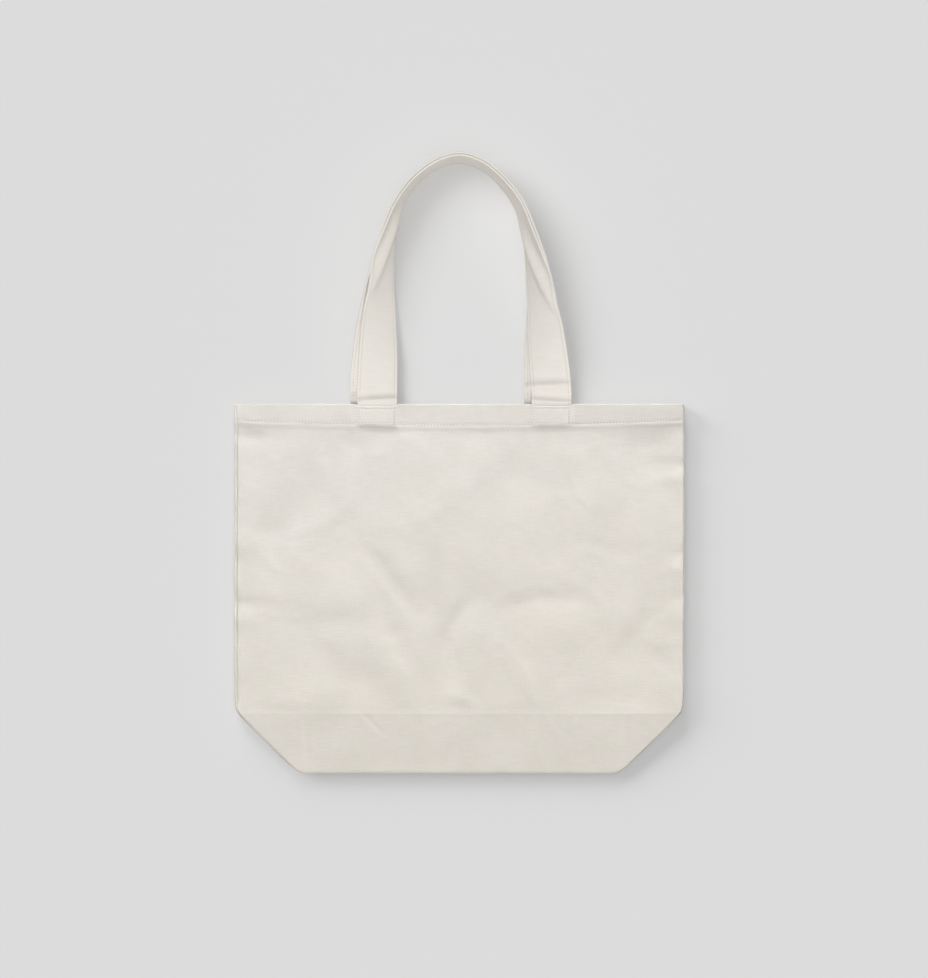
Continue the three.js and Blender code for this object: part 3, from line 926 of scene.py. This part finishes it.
class Graph:
    """Adds nodes to a material. Each call returns the new node's first output."""

    def __init__(self, name):
        self.material = bpy.data.materials.new(name)
        self.material.use_nodes = True
        self.tree = self.material.node_tree
        self.shader = self.tree.nodes["Principled BSDF"]

    def node(self, kind, inputs=(), output=0, **settings):
        made = self.tree.nodes.new("ShaderNode" + kind)
        for key, value in settings.items():
            setattr(made, key, value)
        for key, value in dict(inputs).items():
            self.put(made.inputs[key], value)
        return made.outputs[output]

    def put(self, socket, value):
        if isinstance(value, bpy.types.NodeSocket):
            self.tree.links.new(value, socket)
        else:
            socket.default_value = value

    def math(self, operation, *values):
        return self.node("Math", enumerate(values), operation=operation)

    def noise(self, vector, scale, detail=2.0):
        return self.node("TexNoise", {"Vector": vector, "Scale": scale, "Detail": detail})

    def cloth_noise(self, cloth, size, detail):
        """Noise on the flat cloth, one unit of which spans size millimetres across and along."""
        shares = [1 / size[0], 1 / size[1], 1]
        place = self.node("VectorMath", {0: cloth, 1: shares}, operation="MULTIPLY")
        return self.noise(place, 1.0, detail)

    def spread(self, value, low, high):
        """0 where value is low, 1 where it is high."""
        return self.node("MapRange", {0: value, 1: low, 2: high, 3: 0.0, 4: 1.0})

    def mix(self, share, first, second, **settings):
        return self.node("Mix", {0: share, 6: first, 7: second}, output=2, data_type="RGBA", **settings)

    def total(self, *weighted):
        """The sum of values, each multiplied by its weight."""
        parts = [self.math("MULTIPLY", value, weight) for value, weight in weighted]
        result = parts[0]
        for part in parts[1:]:
            result = self.math("ADD", result, part)
        return result

    def surface(self, settings):
        for key, value in settings.items():
            self.put(self.shader.inputs[key], value)


def thread_height(graph, cloth):
    """The height of a plain weave, with threads both ways that go over and under each other."""
    warp, weft = 0.80, 0.86
    split = graph.node("SeparateXYZ", {0: cloth})
    waver = graph.math("MULTIPLY", graph.cloth_noise(cloth, (9, 3), 2.0), 0.35)
    x = graph.math("MULTIPLY", graph.math("ADD", split, waver), 2 * math.pi / warp)
    y = graph.math("MULTIPLY", graph.math("ADD", split.node.outputs[1], waver), 2 * math.pi / weft)
    over = graph.math("MULTIPLY", graph.math("SINE", x), graph.math("SINE", y))
    ribs = graph.math("ABSOLUTE", graph.math("SINE", graph.math("MULTIPLY", y, 0.5)))
    return graph.total((over, 0.5), (ribs, 0.8))


def canvas_material(name, light, shade, foot_tint=None):
    """Undyed canvas: a plain weave with slubs along its weft, flecks and a soft, patchy shade. It takes on
    foot_tint towards the lower right of the bag."""
    graph = Graph(name)
    cloth = graph.node("Attribute", output=1, attribute_name="cloth")
    slub = graph.cloth_noise(cloth, (16, 0.9), 2.0)
    ends = graph.cloth_noise(cloth, (0.8, 12), 1.0)
    patch = graph.cloth_noise(cloth, (45, 38), 3.0)
    fleck = graph.cloth_noise(cloth, (1.6, 1.1), 1.0)
    tone = graph.total((slub, 0.40), (ends, 0.15), (patch, 0.30), (fleck, 0.15))
    colour = graph.mix(graph.spread(tone, 0.39, 0.61), (*shade, 1), (*light, 1))
    hue = graph.spread(graph.cloth_noise(cloth, (30, 16), 2.0), 0.35, 0.65)
    tint = graph.mix(hue, (0.995, 1.002, 0.992, 1), (1.005, 0.997, 1.0, 1))
    colour = graph.mix(1.0, colour, tint, blend_type="MULTIPLY")
    if foot_tint:
        lower_right = (-0.25, 1, 0)
        place = graph.node("VectorMath", {0: cloth, 1: lower_right}, output=1, operation="DOT_PRODUCT")
        below = graph.spread(place, MOUTH, CREASE + 50)
        colour = graph.mix(below, colour, (*foot_tint, 1), blend_type="MULTIPLY")
    height = graph.total((thread_height(graph, cloth), 0.5), (slub, 0.9), (ends, 0.4))
    graph.surface({
        "Base Color": colour,
        "Normal": graph.node("Bump", {"Height": height, "Distance": 0.00016, "Strength": 0.6}),
        "Roughness": 0.94,
        "Specular IOR Level": 0.18,
        "Sheen Weight": 0.15,
        "Sheen Roughness": 0.5,
        "Sheen Tint": (1.0, 0.97, 0.92, 1),
    })
    return graph.material


def thread_material(name, light, shade, hole_shade):
    """Cotton thread of fine twisted plies, and the needle holes between its stitches, coloured with painted
    shade that stands in for the shadow in their pits.
    """
    graph = Graph(name)
    place = graph.node("TexCoord", output=3)
    twist = graph.node("TexWave", {"Vector": place, "Scale": 1400.0, "Distortion": 1.5}, output=1,
                       bands_direction="DIAGONAL")
    colour = graph.mix(graph.noise(place, 300.0), (*shade, 1), (*light, 1))
    hole = graph.node("Attribute", output=2, attribute_name="hole")
    graph.surface({
        # The needle holes take the last colour: painted shade for their pits.
        "Base Color": graph.mix(hole, colour, (*hole_shade, 1)),
        "Normal": graph.node("Bump", {"Height": twist, "Distance": 0.00004, "Strength": 0.5}),
        "Roughness": 0.75,
        "Specular IOR Level": 0.25,
    })
    return graph.material


def plain_material(name, colour):
    graph = Graph(name)
    graph.surface({"Base Color": (*colour, 1), "Roughness": 1.0, "Specular IOR Level": 0.0})
    return graph.material


# The studio.

LEVEL_LIGHT = 3.213  # light on a level face, which makes the floor a pale grey
WORLD_SHARE = 0.11  # the world's part of it
FLOOR_HALF = 6.0  # in metres
FLOOR_DROP = 0.0002  # the floor lies this far below the bag
FLOOR_GREY = (0.673, 0.673, 0.673)


def make_floor():
    outline = [(x * FLOOR_HALF, y * FLOOR_HALF, 0) for x, y in ((-1, -1), (1, -1), (1, 1), (-1, 1))]
    mesh = bpy.data.meshes.new("floor")
    mesh.from_pydata(outline, [], [(0, 1, 2, 3)])
    floor = bpy.data.objects.new("floor", mesh)
    bpy.context.scene.collection.objects.link(floor)
    floor.location.z = -FLOOR_DROP
    mesh.materials.append(plain_material("floor", FLOOR_GREY))
    return floor


def collected(name, pieces):
    collection = bpy.data.collections.new(name)
    for piece in pieces:
        collection.objects.link(piece)
    return collection


def make_sun(name, azimuth, elevation, share, angle, lit, casting=None):
    """A distant light from azimuth, counted from +X towards +Y, at elevation, both in degrees. share is its
    part of LEVEL_LIGHT on a level face. It falls on the pieces in lit only, and either everything casts a
    shadow in it or only the pieces in casting do."""
    data = bpy.data.lights.new(name, "SUN")
    data.energy = share * LEVEL_LIGHT / math.sin(math.radians(elevation))
    data.angle = math.radians(angle)
    light = bpy.data.objects.new(name, data)
    light.rotation_euler = (0, math.radians(90 - elevation), math.radians(azimuth))
    bpy.context.scene.collection.objects.link(light)
    light.light_linking.receiver_collection = collected(f"lit_by_{name}", lit)
    if casting:
        light.light_linking.blocker_collection = collected(f"casting_in_{name}", casting)


def make_lights(floor):
    """The first four lights fall on the floor only: one overhead, two low keys in which the body casts its
    shadow, and a higher one in which the handles do. The others fall on the bag and model it."""
    pieces = [obj for obj in bpy.context.scene.objects if obj.type == "MESH" and obj != floor]
    straps = [obj for obj in pieces if "_strap" in obj.name]
    body = [obj for obj in pieces if obj not in straps]
    make_sun("floor_overhead", 100, 88, 0.28, 90, [floor])
    make_sun("body_shadow_key_top", 106, 19, 0.16, 28, [floor], casting=body)
    make_sun("body_shadow_key_side", 150, 19, 0.16, 28, [floor], casting=body)
    make_sun("strap_shadow_key", 150, 44, 0.33, 42, [floor], casting=straps)
    make_sun("overhead", 100, 88, 0.62, 40, pieces)
    make_sun("bag_key", 94, 26, 0.42, 26, body)
    make_sun("bag_fill", -105, 25, 0.07, 60, body)
    make_sun("strap_fill", -80, 30, 0.11, 70, straps)
    make_sun("left_leg_fill", -25, 30, 0.10, 80, straps)
    make_sun("right_leg_fill", -155, 30, 0.10, 80, straps)
    world = bpy.data.worlds.new("world")
    world.use_nodes = True
    background = world.node_tree.nodes["Background"]
    background.inputs["Color"].default_value = (1, 1, 1, 1)
    background.inputs["Strength"].default_value = WORLD_SHARE * LEVEL_LIGHT / math.pi
    bpy.context.scene.world = world
    bpy.context.scene.view_settings.view_transform = "Standard"


def make_camera():
    """Straight above, a little to the right of the middle and below it, far enough off for a 60 mm lens."""
    lens, sensor, view_height = 60, 36, 978
    right, below_mouth = 4.5, 85
    away = TOP + view_height * lens / sensor
    data = bpy.data.cameras.new("camera")
    data.lens = lens
    data.sensor_width = sensor
    camera = bpy.data.objects.new("camera", data)
    camera.location = (right * 0.001, (MOUTH - below_mouth) * 0.001, away * 0.001)
    bpy.context.scene.collection.objects.link(camera)
    bpy.context.scene.camera = camera


make_camera()
floor = make_floor()

canvas = canvas_material("canvas", (0.645, 0.619, 0.582), (0.585, 0.561, 0.521),
                         foot_tint=(0.972, 0.960, 0.932))
strap_canvas = canvas_material("strap_canvas", (0.775, 0.742, 0.695), (0.72, 0.688, 0.636))
# The thread's last colour is the painted shade of its needle holes.
cotton = thread_material("thread", (0.75, 0.72, 0.67), (0.67, 0.64, 0.59), (0.40, 0.35, 0.28))
seam_canvas = canvas_material("seam_canvas", (0.70, 0.66, 0.59), (0.62, 0.58, 0.51))

make_back(canvas)
make_front(canvas)
for side in ("front", "back"):
    make_strap(side, strap_canvas)
    make_panel_stitches(side, cotton)
    make_strap_stitches(side, cotton)
for node, direction in (("left_side_seam", (0, 1)), ("right_side_seam", (0, 1)), ("bottom_seam", (1, 0)),
                        ("left_corner_seam", (1, -1)), ("right_corner_seam", (1, 1))):
    make_seam(node, direction, seam_canvas, cotton)

make_lights(floor)
